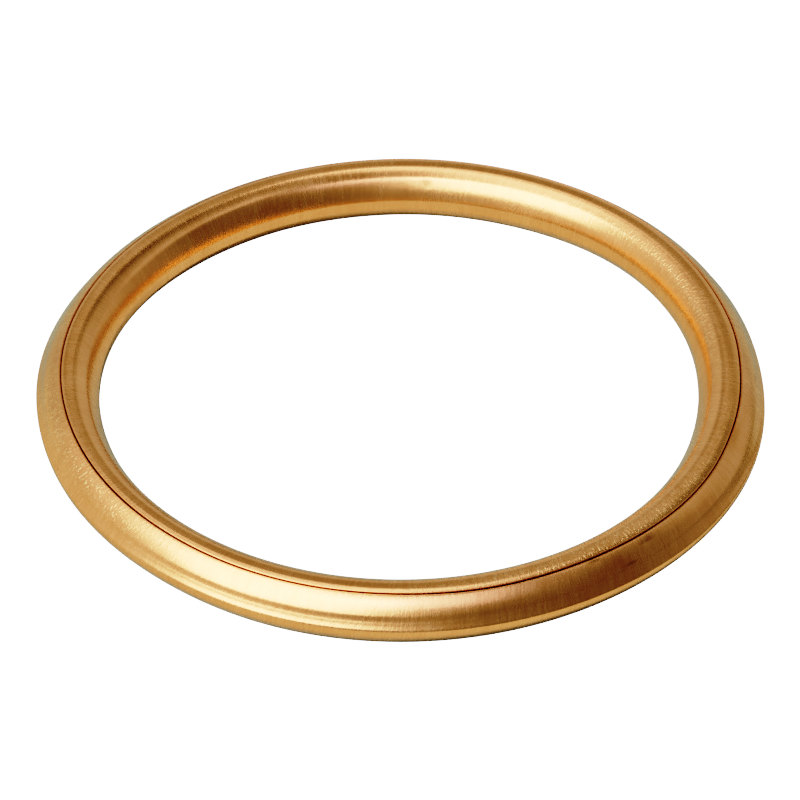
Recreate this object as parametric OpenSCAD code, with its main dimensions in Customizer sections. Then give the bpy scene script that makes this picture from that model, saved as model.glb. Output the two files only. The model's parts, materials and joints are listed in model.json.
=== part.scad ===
// Folded copper ring: an exhaust gasket that is crushed between a port and a pipe flange.
// One strip of sheet is rolled into a hollow ring, and its two long edges meet at an open
// seam on the upper outer shoulder. The ring lies on its seat at Z = 0, centred on the Z
// axis, and is one revolved section.

/* [Ring] */
// Clear diameter inside the ring, the way for the gas
bore_d = 38; // [24:0.5:60]
// Width of the rolled section, from the bore to the outside
section_w = 4; // [3.8:0.1:4.4]
// Height of the ring, from its seat to its crest
ring_h = 4; // [3.8:0.1:4.4]

/* [Sheet] */
// Thickness of the copper sheet
sheet = 0.4; // [0.3:0.05:0.45]
// Open gap between the two edges of the sheet
seam_gap = 0.06; // [0.04:0.02:0.16]
// Radius that rounds the rim of each edge of the sheet
edge_r = 0.08; // [0.04:0.01:0.12]

/* [Pressed line] */
// Depth of the line that the closing tool presses round the outer shoulder
line_depth = 0.02; // [0.01:0.01:0.04]
// Radius of the nose that presses it
line_nose_r = 0.6; // [0.4:0.1:1]

/* [Hidden] */

ring_steps = 180;
nose_steps = 96;
// A bend is drawn in steps no longer than this and no wider than this angle
step_length = 0.25;
step_angle = 10;
// Inner radius of a bend whose outer radius is less than the sheet's thickness
least_bend = 0.04;

half_w = section_w / 2;
half_h = ring_h / 2;
section_r = bore_d / 2 + half_w;
section_z = half_h;

// Corners of the sheet's outer face, clockwise from the seam and round to it again, about
// the middle of the section. Each is a share of the half width, a share of the half height,
// and its bend radius as a share of the smaller of the two. The shoulders are crowned: most
// of each is one wide bend.
SEAM = [0.215, 0.95];
LINE = 2;
CORNERS = [
    [SEAM.x, SEAM.y, 0],      // edge of the outer lap
    [0.599, 0.681, 1.5],      // crown of the upper outer shoulder
    [0.8155, 0.348, 0.1],     // pressed line
    [0.8925, 0.205, 0.8],     // hollow below it
    [1, 0.07, 0.15],          // top of the outer wall
    [1, -0.13, 0.15],         // foot of the outer wall
    [0.6825, -0.7175, 1.75],  // lower outer shoulder
    [0.15, -1, 0.25],         // outer side of the seat
    [-0.14, -1, 0.25],        // inner side of the seat
    [-0.725, -0.75, 1.4],     // lower inner shoulder
    [-1, -0.175, 0.25],       // foot of the bore
    [-1, 0.13, 0.25],         // top of the bore
    [-0.85, 0.5, 1.9],        // upper inner shoulder
    [-0.6085, 0.789, 0.4],    // ridge beside the crest
    [-0.487, 0.877, 1.5],     // ledge above it
    [-0.265, 1, 0.45],        // inner side of the crest
    [0.05, 1, 0.2],           // outer side of the crest
    [SEAM.x, SEAM.y, 0]       // edge of the inner lap
];

function unit(v) = v / norm(v);
function left_of(v) = [-v.y, v.x];
function turn(u, v) = atan2(u.x * v.y - u.y * v.x, u * v);
function along(angle) = [cos(angle), sin(angle)];

// Where two lines cross, each given by a point and a direction
function crossing(p, u, q, v) = p + u * ((q - p) * left_of(v)) / (u * left_of(v));

// Centre of the arc that rounds the corner at b between a and c
function bend_centre(a, b, c, radius) =
    let (u = unit(b - a), angle = turn(u, unit(c - b)))
    b - u * radius * tan(abs(angle) / 2) + left_of(u) * sign(angle) * radius;

// Points of that arc
function rounded(a, b, c, radius) =
    let (
        u = unit(b - a),
        angle = turn(u, unit(c - b)),
        first = atan2(u.y, u.x) - sign(angle) * 90,
        length = radius * abs(angle) * PI / 180,
        steps = max(1, ceil(abs(angle) / step_angle), ceil(length / step_length))
    )
    [for (i = [0 : steps]) bend_centre(a, b, c, radius) + radius * along(first + angle * i / steps)];

last = len(CORNERS) - 1;
outer_face = [for (c = CORNERS) [c.x * half_w, c.y * half_h]];
outer_bends = [for (c = CORNERS) c.z * min(half_w, half_h)];
runs = [for (i = [1 : last]) unit(outer_face[i] - outer_face[i - 1])];
first_run = runs[0];
last_run = runs[last - 1];

// The inner face is the outer one moved in by the thickness of the sheet, so its bends are
// tighter by that, and wider where the outer face is hollow
function inwards(run) = -left_of(run) * sheet;
function inner_bend(i) =
    max(outer_bends[i] + sign(turn(runs[i - 1], runs[i])) * sheet, least_bend);
function under(corner, run, next_run) =
    crossing(corner + inwards(run), run, corner + inwards(next_run), next_run);
inner_face = [for (i = [1 : last - 1]) under(outer_face[i], runs[i - 1], runs[i])];

// Each lap stops short of the seam by half the gap, and both are cut square to the seam
seam_cut = unit(inwards(first_run) + inwards(last_run));
outer_lap = outer_face[0] + first_run * seam_gap / 2;
inner_lap = outer_face[last] - last_run * seam_gap / 2;
function lap_foot(lap, run) = crossing(lap, seam_cut, lap + inwards(run), run);

// The whole outline: along the outer face, down the edge of the inner lap, back along the
// inner face, and up the edge of the outer lap
outline = concat(
    [outer_lap],
    [for (i = [1 : last - 1]) outer_face[i]],
    [inner_lap, lap_foot(inner_lap, last_run)],
    [for (i = [last - 2 : -1 : 0]) inner_face[i]],
    [lap_foot(outer_lap, first_run)]
);
bends = concat(
    [edge_r],
    [for (i = [1 : last - 1]) outer_bends[i]],
    [edge_r, least_bend],
    [for (i = [last - 1 : -1 : 1]) inner_bend(i)],
    [least_bend]
);
count = len(outline);

module sheet_section() {
    polygon([for (i = [0 : count - 1])
        each rounded(outline[(i + count - 1) % count], outline[i], outline[(i + 1) % count], bends[i])]);
}

// The nose of the closing tool, set into the outer face at the foot of the shoulder's crown
module pressed_line() {
    outwards = unit(left_of(runs[LINE - 1]) + left_of(runs[LINE]));
    translate(outer_face[LINE] + outwards * (line_nose_r - line_depth))
        circle(r = line_nose_r, $fn = nose_steps);
}

module folded_ring() {
    color([0.78, 0.5, 0.27])
        translate([0, 0, section_z])
            rotate_extrude($fn = ring_steps)
                translate([section_r, 0])
                    difference() {
                        sheet_section();
                        pressed_line();
                    }
}

folded_ring();
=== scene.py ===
"""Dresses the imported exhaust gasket: a rolled copper ring with an open seam, lying on a white floor."""
import json
import math

import bpy
import numpy as np
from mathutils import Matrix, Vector


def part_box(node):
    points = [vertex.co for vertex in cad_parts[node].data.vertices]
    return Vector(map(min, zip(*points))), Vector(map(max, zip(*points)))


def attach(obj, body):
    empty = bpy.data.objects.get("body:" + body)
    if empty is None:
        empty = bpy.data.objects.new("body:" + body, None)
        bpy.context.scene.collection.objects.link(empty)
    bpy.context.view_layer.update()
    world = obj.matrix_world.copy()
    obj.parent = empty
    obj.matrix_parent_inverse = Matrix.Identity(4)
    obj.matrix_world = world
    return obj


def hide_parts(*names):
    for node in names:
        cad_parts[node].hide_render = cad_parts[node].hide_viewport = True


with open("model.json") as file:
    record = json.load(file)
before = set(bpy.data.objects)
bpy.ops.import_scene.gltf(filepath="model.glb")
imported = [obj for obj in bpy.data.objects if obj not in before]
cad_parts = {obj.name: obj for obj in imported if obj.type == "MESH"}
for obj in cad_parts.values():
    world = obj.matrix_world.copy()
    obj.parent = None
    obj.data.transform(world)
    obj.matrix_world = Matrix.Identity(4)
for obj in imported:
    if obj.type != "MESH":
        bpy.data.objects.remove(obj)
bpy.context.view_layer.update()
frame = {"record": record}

MM = 0.001
# In degrees
HALF_TURN = 180
FULL_TURN = 360

# Sizes from the frame
MOUNTS = {mount["name"]: mount for mount in frame["record"]["mounts"]}
OUTER_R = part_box("folded_ring")[1].x
RING_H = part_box("folded_ring")[1].z
BORE_R = MOUNTS["gas_bore"]["dims"]["r_mm"] * MM
HALF_W = (OUTER_R - BORE_R) / 2
HALF_H = RING_H / 2
SECTION_R = BORE_R + HALF_W

# Sheet and seam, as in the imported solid
SHEET = 0.4 * MM
SEAM_GAP = 0.06 * MM
EDGE_R = 0.08 * MM
LEAST_BEND = 0.04 * MM

# Corners of the sheet's outer face, clockwise from the seam, about the middle of the section:
# a share of the half width, a share of the half height, and the bend radius as a share of
# the smaller of the two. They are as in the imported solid, but for the bend at the foot of the
# outer wall, which is wider here and gives the thin bright lip of the photograph. SEAM is
# where the two laps meet, and LINE is the number of the pressed line's corner.
SEAM = (0.215, 0.95)
LINE = 2
CORNERS = [
    (*SEAM, 0),                # edge of the outer lap
    (0.599, 0.681, 1.5),       # crown of the upper outer shoulder
    (0.8155, 0.348, 0.1),      # pressed line
    (0.8925, 0.205, 0.8),      # hollow below it
    (1, 0.07, 0.15),           # top of the outer wall
    (1, -0.13, 0.5),           # foot of the outer wall
    (0.6825, -0.7175, 1.75),   # lower outer shoulder
    (0.15, -1, 0.25),          # outer side of the seat
    (-0.14, -1, 0.25),         # inner side of the seat
    (-0.725, -0.75, 1.4),      # lower inner shoulder
    (-1, -0.175, 0.25),        # foot of the bore
    (-1, 0.13, 0.25),          # top of the bore
    (-0.85, 0.5, 1.9),         # upper inner shoulder
    (-0.6085, 0.789, 0.4),     # ridge beside the crest
    (-0.487, 0.877, 1.5),      # ledge above it
    (-0.265, 1, 0.45),         # inner side of the crest
    (0.05, 1, 0.2),            # outer side of the crest
    (*SEAM, 0),                # edge of the inner lap
]

# A place, in all the lists below, is the turn from the ring's right, clockwise as the camera
# sees it. A spread is how far to either side of it a thing reaches. Both are in degrees.

# Pressed line: its depth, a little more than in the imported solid, the distance at which a
# third of it is left, and where it is fainter: place, spread, and the share that is lost
LINE_DEPTH = 0.022 * MM
LINE_HALF_W = 0.17 * MM
LINE_FAINT = [(17, 18, 0.7)]

# Out of round, as the photograph shows the ring: place, spread, and how far the bore's wall
# and the outer wall lie outwards there
OUT_OF_ROUND = [
    (30, 26, -0.08 * MM, 0.24 * MM),
    (-5, 14, 0, -0.13 * MM),
    (3, 18, -0.19 * MM, 0),
    (85, 40, -0.06 * MM, 0),
    (130, 14, 0, -0.11 * MM),
    (158, 18, 0.04 * MM, -0.03 * MM),
    (186, 12, 0.02 * MM, 0.07 * MM),
    (232, 26, -0.2 * MM, -0.16 * MM),
    (262, 12, -0.06 * MM, -0.02 * MM),
    (312, 18, 0.27 * MM, 0.03 * MM),
    (325, 12, 0.02 * MM, 0.05 * MM),
]

# Where the seam strays outwards, and where it is wider or narrower: place, spread, and how much
SEAM_STRAYS = [
    (24, 26, 0.17 * MM),
    (46, 16, 0.07 * MM),
    (152, 20, -0.06 * MM),
    (-10, 9, 0.12 * MM),
    (18, 9, -0.09 * MM),
    (74, 13, 0.1 * MM),
]
SEAM_WIDTHS = [
    (108, 30, -0.035 * MM),
    (70, 14, 0.025 * MM),
    (32, 18, -0.035 * MM),
    (60, 10, -0.015 * MM),
    (-16, 14, 0.02 * MM),
    (172, 14, -0.012 * MM),
    (198, 12, 0.015 * MM),
]
# The sheet moves with the seam this far from it, and sinks by this share of what it strays
SEAM_REACH = 0.5 * MM
SEAM_FALL = 0.3
# How far outwards the seam leans for each step up, which tells one lap from the other
SEAM_LEAN = 0.5

# Dents: place, degrees across the section from its outside over the crest to the bore, radius
# and depth
DENTS = [
    (275, 135, 0.28 * MM, 0.008 * MM),
    (239, 128, 0.2 * MM, 0.008 * MM),
    (241.5, 128, 0.18 * MM, 0.008 * MM),
    (253.4, 131, 0.2 * MM, 0.006 * MM),
    (57, 68, 0.35 * MM, 0.02 * MM),
    (47, 60, 0.5 * MM, 0.02 * MM),
    (205, 158, 0.4 * MM, 0.01 * MM),
]

# Marks: the dark ones are stains and nicks, with some painted shade among them, and the bright ones are
# painted highlights. Each has its place and degrees across, the spread of each, and the tone, dark below
# nothing and bright above
MARKS_AND_PAINTED_LIGHT = [
    (57, 71, 1.6, 5, -1.3),
    (47, 61, 2.2, 6, -1.2),
    (51.3, 34, 1.4, 2.5, -1.2),
    (66, 43, 1.2, 12, 0.5),
    (68.5, 50, 0.7, 9, 0.5),
    (79, 56, 8, 7, 0.5),
    (92, 62, 12, 5, 0.8),
    (17.7, 68, 2.5, 7, -0.5),
    (245, 150, 14, 16, -0.35),
    (161, 48, 10, 25, 0.35),
    (205, 158, 4, 8, -0.4),
    (275, 135, 1.0, 6, -1.5),
    (170, 130, 10, 8, 0.35),
    (10.4, 58, 3, 8, -0.5),
    (0, 34, 1.2, 3, -0.9),
    (16, 68, 4, 5, -0.35),
    (177, 88, 5, 8, -0.5),
    (191, 95, 7, 8, -0.45),
    (171, 93, 3, 6, -0.3),
    (344, 127, 12, 10, 0.5),
    (0, 112, 14, 8, 0.35),
    (38, 84, 18, 7, 1.1),
    (52, 100, 16, 8, 0.6),
]

# Where the brushing is speckled: place and degrees across, the spread of each, and how much;
# and how much everywhere else
SPECKLES = [
    (157, 50, 20, 24, 1),
    (338, 122, 28, 14, 1),
    (55, 93, 32, 14, 0.6),
]
SPECKLED_ELSEWHERE = 0.12

# Mesh: its steps round the ring, and along the section's outer face and the hollow behind it
AROUND_STEPS = 720
FACE_STEPS = 106
HOLLOW_STEPS = 26
# A bend is first drawn in fine steps. Points are then spaced by length, by bend and, within
# reach of the pressed line, by a closer length. Two that are as near as SAME_POINT are one.
FINE_STEP = math.radians(1)
LONG_STEP = 0.2 * MM
WIDE_STEP = math.radians(9)
LINE_STEP = 0.035 * MM
LINE_REACH = 0.3 * MM
SAME_POINT = 1e-9

# UV map: strips above each other, the share of each for the outer face, and the map's margin
STRIPS = 3
STRIP_STEPS = AROUND_STEPS // STRIPS
FACE_SHARE = 0.86
UV_EDGE = 0.004

# Brushing: a streak's size round the ring and across the band, its slant, and the noise's detail
FINE_STREAKS = (0.14 * MM, 1.3 * MM, 0.1, 2)
COARSE_STREAKS = (0.45 * MM, 6 * MM, -0.06, 1)
SCRATCHES = (0.16 * MM, 3 * MM, 0.55, 0)
SPOTS = (0.15 * MM, 0.24 * MM, 0.3, 1)
STAIN_SIZE = 3.5 * MM
STAIN_DETAIL = 3
# What the noise mostly keeps within, and where in it scratches and spots begin and are whole
NOISE_RANGE = (0.3, 0.7)
SCRATCH_RANGE = (0.66, 0.74)
SPOT_RANGE = (0.54, 0.66)
# How far each swings to either side of nothing
FINE_SHARE = 0.5
COARSE_SHARE = 0.35
STAIN_SHARE = 0.5

# Copper: its colours, and how far streaks, stains and marks move it between dark and light; the marks
# hold painted highlights and painted shade as well as stains and nicks
DARK_COPPER = (0.62, 0.27, 0.115, 1)
LIGHT_COPPER = (0.98, 0.53, 0.26, 1)
MIDDLE_TONE = 0.5
STREAK_TONE = 0.16
STAIN_TONE = 0.18
# The marks' tone paints highlights and shade into the copper's colour, as well as stains and nicks
MARK_AND_PAINTED_LIGHT_TONE = 0.3
SPOT_COLOUR = (1, 0.7, 0.36, 1)
SPOT_COVER = 0.5
SCRATCH_COLOUR = (0.5, 0.22, 0.1, 1)
SCRATCH_COVER = 0.1
SMUDGE_COLOUR = (0.3, 0.19, 0.1, 1)
SMUDGE_COVER = 0.7
SMUDGE_RANGE = (-0.4, -1.4)
SEAM_COLOUR = (0.6, 0.17, 0.1, 1)
SEAM_STAIN = 0.075 * MM
GRAZING_TINT = (0.45, 0.68, 0.78, 1)
ANISOTROPY = 0.5
ROUGHNESS = (0.25, 0.28)
STAIN_ROUGHNESS = 0.03
# Height of the brushing, and how much of it streaks, scratches and spots have
BRUSH_HEIGHT = 0.004 * MM
STREAK_HEIGHT = 0.28
SCRATCH_HEIGHT = -0.12
SPOT_HEIGHT = 2.4

# Camera, with its lens in mm. The middle of the ring lies at AXIS_PIXEL in a picture whose
# sides are IMAGE_SIDE long.
VIEW_ELEVATION = math.radians(39.91)
VIEW_DISTANCE = 0.42
LENS = 299.07
CLIP_START = 0.01
IMAGE_SIDE = 800
AXIS_PIXEL = (400.8, 390.6)

# Studio. Angles are in degrees, azimuths to the left of the camera's side. A soft box has its
# azimuth, elevation, width, height, roll, radiance and colour. A patch of the room has its
# azimuth, elevation, the radius within which it is whole, the radius at which it ends, and
# its radiance.
LIGHT_DISTANCE = 0.6
KEY = (44, 44, 54, 42, 18, 2.4, (1, 1.06, 0.95))
FILL = (-8, 55, 30, 24, 0, 0.8, (1, 0.92, 1.15))
WALLS = (0.22, 0.22, 0.22)
PATCHES = [
    (75, -5, 20, 70, (0.5, 0.5, 0.44)),
    (180, 8, 26, 60, (0.41, 0.42, 0.39)),
    (106, 40, 7, 24, (0.62, 0.62, 0.58)),
    (164, 38, 6, 18, (0.15, 0.15, 0.15)),
    (-177, 37, 4, 11, (0.23, 0.23, 0.22)),
    (-60, 72, 12, 22, (0.06, 0.06, 0.06)),
    (-105, 62, 10, 22, (0.14, 0.14, 0.14)),
    (-149, 53, 11, 22, (0.06, 0.06, 0.06)),
    (-166, 46, 3, 9, (0.07, 0.07, 0.07)),
    (-48, 17, 20, 46, (0.115, 0.115, 0.115)),
    (-80, 38, 8, 20, (0.1, 0.1, 0.1)),
    (-76, 59, 3, 8, (0.8, 0.8, 0.8)),
    (-100, 47, 4, 9, (0.42, 0.42, 0.4)),
    (92, 72, 8, 21, (1.5, 1.5, 1.4)),
    (180, 86, 3, 8, (2.0, 2.0, 1.9)),
    (-178, 71, 4, 9, (2.0, 2.0, 1.9)),
    (158, 59, 4, 13, (0.75, 0.75, 0.7)),
    (178, 56, 3, 10, (0.5, 0.5, 0.47)),
    (-104, 34, 4, 14, (0.4, 0.4, 0.38)),
    (-122, 4, 4, 22, (0.36, 0.36, 0.34)),
]

# Floor: its size, its grey, and the darker grey on its far side, with the azimuth of that side
# and the distances at which it begins and is whole
FLOOR_HALF = 2.0
FLOOR = (0.355, 0.35, 0.295)
FLOOR_FAR = (0.05, 0.05, 0.05)
FAR_SIDE = (-60, 0.026, 0.036)
# The floor's own light: azimuth, elevation, strength and width
FLOOR_SUN = (62, 55, 2.25, 15)

# Tone curve: scene light against picture light, between nothing and white
FILM_WHITE = 2.0
FILM = [(0.031, 0.008), (0.0625, 0.063), (0.125, 0.2), (0.25, 0.434), (0.5, 0.723), (1, 0.913)]
# The curve that all three colours share
ALL_COLOURS = 3


def unit(v):
    return v / np.hypot(*v)


def left_of(v):
    return np.array([-v[1], v[0]])


def angle_between(u, v):
    """The turn from one direction to another, to the left above nothing."""
    return math.atan2(u[0] * v[1] - u[1] * v[0], u @ v)


def crossing(p, u, q, v):
    """Where two lines cross, each given by a point and a direction."""
    return p + u * ((q - p) @ left_of(v)) / (u @ left_of(v))


def bend_centre(a, b, c, radius):
    """Centre of the arc that rounds the corner at b between a and c."""
    u = unit(b - a)
    angle = angle_between(u, unit(c - b))
    return b - u * radius * math.tan(abs(angle) / 2) + left_of(u) * math.copysign(radius, angle)


def rounded(a, b, c, radius):
    """Points of that arc, a fine step apart."""
    u = unit(b - a)
    angle = angle_between(u, unit(c - b))
    first = math.atan2(u[1], u[0]) - math.copysign(math.pi / 2, angle)
    steps = max(2, math.ceil(abs(angle) / FINE_STEP))
    turns = first + angle * np.arange(steps + 1) / steps
    return bend_centre(a, b, c, radius) + radius * np.column_stack([np.cos(turns), np.sin(turns)])


def sheet_faces():
    """The outer face from lap to lap, and the way back through the hollow, as fine polylines, and
    the middle of the pressed line."""
    outer = [np.array([x * HALF_W, z * HALF_H]) for x, z, _ in CORNERS]
    bends = [share * min(HALF_W, HALF_H) for _, _, share in CORNERS]
    runs = [unit(b - a) for a, b in zip(outer, outer[1:])]
    inwards = [-left_of(run) * SHEET for run in runs]
    inner = [
        crossing(corner + inwards[i], runs[i], corner + inwards[i + 1], runs[i + 1])
        for i, corner in enumerate(outer[1:-1])
    ]
    cut = unit(inwards[0] + inwards[-1])
    outer_lap = outer[0] + runs[0] * SEAM_GAP / 2
    inner_lap = outer[-1] - runs[-1] * SEAM_GAP / 2
    outer_foot = crossing(outer_lap, cut, outer_lap + inwards[0], runs[0])
    inner_foot = crossing(inner_lap, cut, inner_lap + inwards[-1], runs[-1])
    corners = [outer_lap, *outer[1:-1], inner_lap, inner_foot, *reversed(inner), outer_foot]
    inner_bends = [
        max(bend - math.copysign(SHEET, -angle_between(u, v)), LEAST_BEND)
        for bend, u, v in zip(bends[1:-1], runs, runs[1:])
    ]
    radii = [EDGE_R, *bends[1:-1], EDGE_R, LEAST_BEND, *reversed(inner_bends), LEAST_BEND]
    arcs = [
        rounded(corners[i - 1], corners[i], corners[(i + 1) % len(corners)], radii[i])
        for i in range(len(corners))
    ]
    return np.vstack(arcs[:len(outer)]), np.vstack(arcs[len(outer):]), outer[LINE]


def spaced(points, count, near):
    """Points on a fine polyline, closer together where it bends and round the point near."""
    points = points[np.append(True, np.hypot(*np.diff(points, axis=0).T) > SAME_POINT)]
    runs = np.diff(points, axis=0)
    lengths = np.hypot(*runs.T)
    headings = np.unwrap(np.arctan2(runs[:, 1], runs[:, 0]))
    turns = np.abs(np.diff(headings, append=headings[-1]))
    middles = (points[1:] + points[:-1]) / 2
    close = np.hypot(*(middles - near).T) < LINE_REACH
    cost = lengths / LONG_STEP + turns / WIDE_STEP + close * lengths / LINE_STEP
    place = np.append(0, np.cumsum(cost))
    wanted = np.linspace(0, place[-1], count)
    return np.column_stack([np.interp(wanted, place, column) for column in points.T])


def degrees_from(places, centre):
    """How far places lie from a centre, the shorter way round, in degrees."""
    return (places - centre + HALF_TURN) % FULL_TURN - HALF_TURN


def nearness(places, centre, reach):
    """One at a place round the ring or the section, falling to nothing round it, all in degrees."""
    return np.exp(-(degrees_from(places, centre) / reach) ** 2)


def round_ring(turn, rows):
    """What rows of place, spread and amount add up to at each place round the ring."""
    return sum(nearness(turn, place, reach) * amount for place, reach, amount in rows)


def over_ring(turn, across, rows):
    """The same for rows of place, degrees across, the spread of each, and amount."""
    return sum(
        nearness(turn, place, reach) * nearness(across, tilt, high) * amount
        for place, tilt, reach, high, amount in rows
    )


def outward_moves(section, line, turn, across, on_face):
    """How far each point lies outwards of the plain section, for the pressed line and the dents."""
    from_line = np.hypot(*(section - line).T) / LINE_HALF_W
    pressed = -LINE_DEPTH * np.exp(-from_line ** 2) * on_face
    moves = (1 - round_ring(turn, LINE_FAINT)) * pressed
    for place, tilt, radius, depth in DENTS:
        round_it = np.radians(degrees_from(turn, place)) * SECTION_R / radius
        over_it = np.radians(degrees_from(across, tilt)) * HALF_W / radius
        moves -= depth * np.exp(-round_it ** 2 - over_it ** 2) * on_face
    return moves


def ring_points(section, from_seam, moves, turn):
    """The section's points at each place round the ring, moved as its seam and its walls are."""
    along = np.roll(section, -1, axis=0) - np.roll(section, 1, axis=0)
    outwards = np.array([unit(left_of(step)) for step in along])
    x = section[:, 0] + moves * outwards[:, 0]
    z = section[:, 1] + moves * outwards[:, 1]

    by_seam = np.exp(-(np.hypot(*from_seam.T) / SEAM_REACH) ** 2)
    lap = np.sign(from_seam[:, 0] - SEAM_LEAN * from_seam[:, 1])
    stray = round_ring(turn, SEAM_STRAYS)
    x = x + by_seam * (stray + lap * round_ring(turn, SEAM_WIDTHS) / 2)
    z = z - by_seam * stray * SEAM_FALL

    bore_out = round_ring(turn, [(place, reach, bore) for place, reach, bore, _ in OUT_OF_ROUND])
    outer_out = round_ring(turn, [(place, reach, outer) for place, reach, _, outer in OUT_OF_ROUND])
    r = SECTION_R + x + bore_out + (outer_out - bore_out) * (x + HALF_W) / (2 * HALF_W)
    angles = np.radians(-turn)
    return np.stack([r * np.cos(angles), r * np.sin(angles), HALF_H + z], axis=2)


def ring_quads(count):
    """The points of each face, from its own corner along the section, across and back."""
    i, j = np.meshgrid(np.arange(AROUND_STEPS), np.arange(count), indexing="ij")
    here = i * count
    ahead = (i + 1) % AROUND_STEPS * count
    next_j = (j + 1) % count
    return np.stack([here + j, here + next_j, ahead + next_j, ahead + j], axis=2)


def ring_mesh():
    """The ring as one closed mesh, with what its material needs kept at each point."""
    face, hollow, line = sheet_faces()
    section = np.vstack([spaced(face, FACE_STEPS, line), spaced(hollow, HOLLOW_STEPS, line)])
    count = len(section)
    on_face = np.arange(count) < FACE_STEPS
    path = np.append(0, np.cumsum(np.hypot(*np.diff(section, axis=0).T)))
    from_seam = section - np.array([SEAM[0] * HALF_W, SEAM[1] * HALF_H])
    across = np.degrees(np.arctan2(section[:, 1], section[:, 0]))
    turn = -np.linspace(0, FULL_TURN, AROUND_STEPS, endpoint=False)[:, None]

    moves = outward_moves(section, line, turn, across, on_face)
    points = ring_points(section, from_seam, moves, turn)
    quads = ring_quads(count)
    mesh = bpy.data.meshes.new("folded_ring_sheet")
    mesh.from_pydata(points.reshape(-1, 3).tolist(), [], quads.reshape(-1, 4).tolist())
    mesh.polygons.foreach_set("use_smooth", np.ones(len(mesh.polygons), bool))
    keep(mesh, "path", path)
    # The marks' tone: stains and nicks, with painted highlights and painted shade
    keep(mesh, "tone", over_ring(turn, across, MARKS_AND_PAINTED_LIGHT) * on_face)
    keep(mesh, "seam", np.exp(-(np.hypot(*from_seam.T) / SEAM_STAIN) ** 2))
    keep(mesh, "speckle", over_ring(turn, across, SPECKLES) + SPECKLED_ELSEWHERE)
    strips(mesh, path)
    mesh.update()
    mesh.validate()
    return mesh


def keep(mesh, name, values):
    """Keep a value at each point for the material, the same all round where there is one row."""
    attribute = mesh.attributes.new(name, "FLOAT", "POINT")
    shape = AROUND_STEPS, values.shape[-1]
    attribute.data.foreach_set("value", np.broadcast_to(values, shape).ravel().astype(np.float32))


def strips(mesh, path):
    """A UV map of strips: each a part of the way round, first its outer face, then its hollow."""
    i, j = np.meshgrid(np.arange(AROUND_STEPS), np.arange(len(path)), indexing="ij")
    strip, step = np.divmod(i, STRIP_STEPS)
    # The last step of the section, back to its first point, is about as long as the sheet is thick
    ends = np.append(path, path[-1] + SHEET)
    face_end = ends[FACE_STEPS]
    along_face = ends / face_end * FACE_SHARE
    along_hollow = FACE_SHARE + (ends - face_end) / (ends[-1] - face_end) * (1 - FACE_SHARE)
    place = np.where(np.arange(len(ends)) <= FACE_STEPS, along_face, along_hollow)
    left, right = step / STRIP_STEPS, (step + 1) / STRIP_STEPS
    low, high = (strip + place[j]) / STRIPS, (strip + place[j + 1]) / STRIPS
    corners = [(left, low), (left, high), (right, high), (right, low)]
    uv = np.stack([np.stack(corner, axis=2) for corner in corners], axis=2)
    layer = mesh.uv_layers.new(name="OFBake")
    layer.data.foreach_set("uv", (UV_EDGE + uv * (1 - 2 * UV_EDGE)).ravel().astype(np.float32))


def placed(name, data):
    """A new object in the scene."""
    made = bpy.data.objects.new(name, data)
    bpy.context.scene.collection.objects.link(made)
    return made


def copper_ring():
    """The gasket itself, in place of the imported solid."""
    ring = placed("rolled_copper_ring", ring_mesh())
    ring.data.materials.append(copper())
    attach(ring, "root")
    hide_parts("folded_ring")


def add(tree, kind, inputs=None, **settings):
    """A shader node, its inputs linked to other nodes' outputs or set to values."""
    node = tree.nodes.new("ShaderNode" + kind)
    for name, value in settings.items():
        setattr(node, name, value)
    for name, value in (inputs or {}).items():
        if isinstance(value, bpy.types.NodeSocket):
            tree.links.new(value, node.inputs[name])
        else:
            node.inputs[name].default_value = value
    return node


def vector(tree, operation, inputs, output="Vector"):
    """The result of a vector operation: a vector, or its output of another name."""
    return add(tree, "VectorMath", inputs, operation=operation).outputs[output]


def times(tree, a, b):
    return add(tree, "Math", {0: a, 1: b}, operation="MULTIPLY").outputs["Value"]


def total(tree, first, *others):
    """The sum of values, taken in turn."""
    for other in others:
        first = add(tree, "Math", {0: first, 1: other}, operation="ADD").outputs["Value"]
    return first


def span(tree, value, source, target, **settings):
    """A value that runs over the target while the input runs over the source, each two numbers."""
    made = add(tree, "MapRange", {
        "Value": value,
        "From Min": source[0],
        "From Max": source[1],
        "To Min": target[0],
        "To Max": target[1],
    }, **settings)
    return made.outputs["Result"]


def swing(tree, value, most):
    """Noise that runs as far below nothing as above it."""
    return span(tree, value, NOISE_RANGE, (-most, most))


def noise(tree, place, detail):
    return add(tree, "TexNoise", {"Vector": place, "Scale": 1, "Detail": detail}).outputs["Fac"]


def brushed(tree, path, round_it, fine, long, slant, detail):
    """Noise that is streaked across the band: fine round the ring, long over it, and at a slant."""
    turned = add(tree, "VectorRotate", {
        "Vector": round_it,
        "Angle": times(tree, path, slant / SECTION_R),
    }, rotation_type="Z_AXIS").outputs["Vector"]
    wide = vector(tree, "SCALE", {0: turned, "Scale": SECTION_R / fine})
    over = add(tree, "CombineXYZ", {"Z": times(tree, path, 1 / long)}).outputs["Vector"]
    return noise(tree, vector(tree, "ADD", {0: wide, 1: over}), detail)


def mixed(tree, share, a, b):
    """Colour a, and colour b where the share is whole."""
    made = add(tree, "Mix", data_type="RGBA")
    for name, value in (("Factor", share), ("A", a), ("B", b)):
        socket = next(s for s in made.inputs if s.name == name and s.enabled)
        if isinstance(value, bpy.types.NodeSocket):
            tree.links.new(value, socket)
        else:
            socket.default_value = value
    return next(s for s in made.outputs if s.enabled)


def new_material(name):
    """A material and its node tree."""
    material = bpy.data.materials.new(name)
    material.use_nodes = True
    return material, material.node_tree


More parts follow.
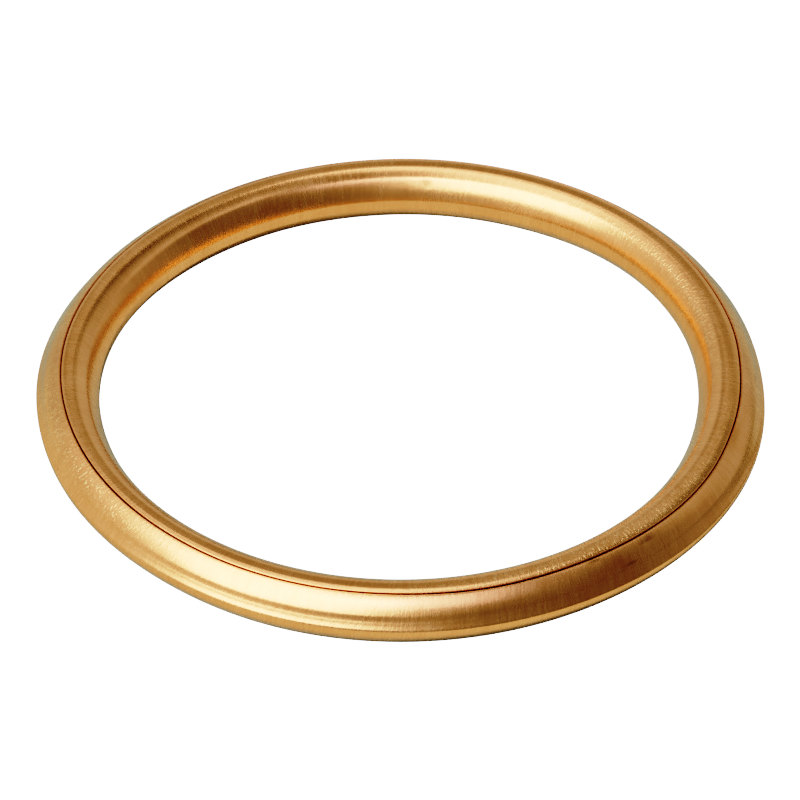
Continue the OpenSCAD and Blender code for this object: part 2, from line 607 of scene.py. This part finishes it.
def copper():
    """Soft copper, finely brushed across the band, with stains, speckles, a dark seam, and painted
    highlights and painted shade in its colour.
    """
    material, tree = new_material("brushed_copper")
    shader = tree.nodes["Principled BSDF"]
    shader.inputs["Metallic"].default_value = 1
    shader.inputs["Anisotropic"].default_value = ANISOTROPY
    shader.inputs["Specular Tint"].default_value = GRAZING_TINT
    around = add(tree, "Tangent", direction_type="RADIAL", axis="Z")
    tree.links.new(around.outputs["Tangent"], shader.inputs["Tangent"])

    path, tone, seam, speckle = (
        add(tree, "Attribute", attribute_name=name).outputs["Fac"]
        for name in ("path", "tone", "seam", "speckle")
    )
    place = add(tree, "TexCoord").outputs["Object"]
    # The direction from the ring's axis, in which a step round the ring is as long in the bore
    # as outside
    level = vector(tree, "MULTIPLY", {0: place, 1: (1, 1, 0)})
    round_it = vector(tree, "NORMALIZE", {0: level})
    fine, coarse, scratch, spots = (
        brushed(tree, path, round_it, *sizes)
        for sizes in (FINE_STREAKS, COARSE_STREAKS, SCRATCHES, SPOTS)
    )
    stains = noise(tree, vector(tree, "SCALE", {0: place, "Scale": 1 / STAIN_SIZE}), STAIN_DETAIL)

    streaks = total(tree, swing(tree, fine, FINE_SHARE), swing(tree, coarse, COARSE_SHARE))
    uneven = swing(tree, stains, STAIN_SHARE)
    cut = span(tree, scratch, SCRATCH_RANGE, (0, 1))
    bright_spots = times(tree, span(tree, spots, SPOT_RANGE, (0, 1)), speckle)

    # The marks' tone adds painted highlights and painted shade to the copper's colour here, besides
    # stains and nicks
    shade = total(
        tree,
        times(tree, streaks, STREAK_TONE),
        times(tree, uneven, STAIN_TONE),
        times(tree, tone, MARK_AND_PAINTED_LIGHT_TONE),
        MIDDLE_TONE,
    )
    body = mixed(tree, shade, DARK_COPPER, LIGHT_COPPER)
    body = mixed(tree, times(tree, bright_spots, SPOT_COVER), body, SPOT_COLOUR)
    body = mixed(tree, times(tree, cut, SCRATCH_COVER), body, SCRATCH_COLOUR)
    body = mixed(tree, span(tree, tone, SMUDGE_RANGE, (0, SMUDGE_COVER)), body, SMUDGE_COLOUR)
    body = mixed(tree, seam, body, SEAM_COLOUR)
    tree.links.new(body, shader.inputs["Base Color"])

    dull = total(tree, span(tree, fine, NOISE_RANGE, ROUGHNESS), times(tree, uneven, STAIN_ROUGHNESS))
    tree.links.new(dull, shader.inputs["Roughness"])

    height = total(
        tree,
        times(tree, streaks, STREAK_HEIGHT),
        times(tree, cut, SCRATCH_HEIGHT),
        times(tree, bright_spots, SPOT_HEIGHT),
    )
    bump = add(tree, "Bump", {"Strength": 1, "Distance": BRUSH_HEIGHT, "Height": height})
    tree.links.new(bump.outputs["Normal"], shader.inputs["Normal"])
    return material


def floor():
    """The ground, which the camera sees white and the metal reflects as the grey that it is."""
    mesh = bpy.data.meshes.new("floor")
    corners = [(x * FLOOR_HALF, y * FLOOR_HALF, 0) for x, y in ((-1, -1), (1, -1), (1, 1), (-1, 1))]
    mesh.from_pydata(corners, [], [range(len(corners))])
    material, tree = new_material("white_floor")
    azimuth, near, far = FAR_SIDE
    place = add(tree, "TexCoord").outputs["Object"]
    out = vector(tree, "DOT_PRODUCT", {0: place, 1: direction(azimuth, 0)}, "Value")
    grey = mixed(tree, span(tree, out, (near, far), (0, 1)), (*FLOOR, 1), (*FLOOR_FAR, 1))
    seen = add(tree, "MixShader", {
        0: add(tree, "LightPath").outputs["Is Camera Ray"],
        1: add(tree, "BsdfDiffuse", {"Color": grey}).outputs["BSDF"],
        2: add(tree, "Emission", {"Strength": FILM_WHITE}).outputs["Emission"],
    })
    tree.links.new(seen.outputs["Shader"], tree.nodes["Material Output"].inputs["Surface"])
    mesh.materials.append(material)
    placed("floor", mesh)


def direction(azimuth, elevation):
    """Unit vector from the ring, azimuth in degrees to the left of the camera's side."""
    a, e = math.radians(azimuth), math.radians(elevation)
    return Vector((-math.sin(a) * math.cos(e), -math.cos(a) * math.cos(e), math.sin(e)))


def facing(way):
    """The rotation of a camera or a light that looks this way."""
    return way.to_track_quat("-Z", "Y").to_euler()


def soft_box(name, azimuth, elevation, wide, high, roll, radiance, colour):
    """A rectangular light that faces the ring, spans these angles in degrees and is rolled."""
    light = bpy.data.lights.new(name, "AREA")
    light.shape = "RECTANGLE"
    light.size = 2 * LIGHT_DISTANCE * math.tan(math.radians(wide / 2))
    light.size_y = 2 * LIGHT_DISTANCE * math.tan(math.radians(high / 2))
    light.energy = radiance * math.pi * light.size * light.size_y
    light.color = colour
    made = placed(name, light)
    made.location = direction(azimuth, elevation) * LIGHT_DISTANCE
    made.rotation_euler = facing(-made.location)
    made.rotation_euler.rotate_axis("Z", math.radians(roll))


def floor_sun():
    """Light that falls on the floor alone, so that the ring shades it as in the photograph."""
    azimuth, elevation, strength, width = FLOOR_SUN
    light = bpy.data.lights.new("floor_sun", "SUN")
    light.angle = math.radians(width)
    light.energy = strength
    made = placed("floor_sun", light)
    made.rotation_euler = facing(-direction(azimuth, elevation))
    made.visible_glossy = False


def room():
    """Surroundings: grey walls with soft patches of light and shade."""
    world = bpy.data.worlds.new("room")
    bpy.context.scene.world = world
    world.use_nodes = True
    tree = world.node_tree
    way = add(tree, "TexCoord").outputs["Generated"]
    colour = (*WALLS, 1)
    for azimuth, elevation, whole, end, shade in PATCHES:
        near = vector(tree, "DOT_PRODUCT", {0: way, 1: direction(azimuth, elevation)}, "Value")
        edge = math.cos(math.radians(end)), math.cos(math.radians(whole))
        share = span(tree, near, edge, (0, 1), interpolation_type="SMOOTHSTEP")
        colour = mixed(tree, share, colour, (*shade, 1))
    tree.links.new(colour, tree.nodes["Background"].inputs["Color"])


def film():
    """Tone curve of the photograph: deep darks and a soft shoulder."""
    view = bpy.context.scene.view_settings
    view.view_transform = "Standard"
    view.use_curve_mapping = True
    mapping = view.curve_mapping
    mapping.white_level = (FILM_WHITE,) * 3
    for x, y in FILM:
        mapping.curves[ALL_COLOURS].points.new(x / FILM_WHITE, y)
    mapping.update()


def camera():
    """The photograph's own view, with the ring's axis on its pixel."""
    lens = bpy.data.cameras.new("camera")
    lens.lens = LENS
    lens.shift_x = (IMAGE_SIDE / 2 - AXIS_PIXEL[0]) / IMAGE_SIDE
    lens.shift_y = (AXIS_PIXEL[1] - IMAGE_SIDE / 2) / IMAGE_SIDE
    lens.clip_start = CLIP_START
    made = placed("camera", lens)
    back = Vector((0, -math.cos(VIEW_ELEVATION), math.sin(VIEW_ELEVATION)))
    made.location = Vector((0, 0, HALF_H)) + back * VIEW_DISTANCE
    made.rotation_euler = facing(-back)
    bpy.context.scene.camera = made


def studio():
    """Surroundings, lights and the tone of the picture."""
    room()
    floor_sun()
    soft_box("key_light", *KEY)
    soft_box("fill_light", *FILL)
    film()


camera()
floor()
studio()
copper_ring()
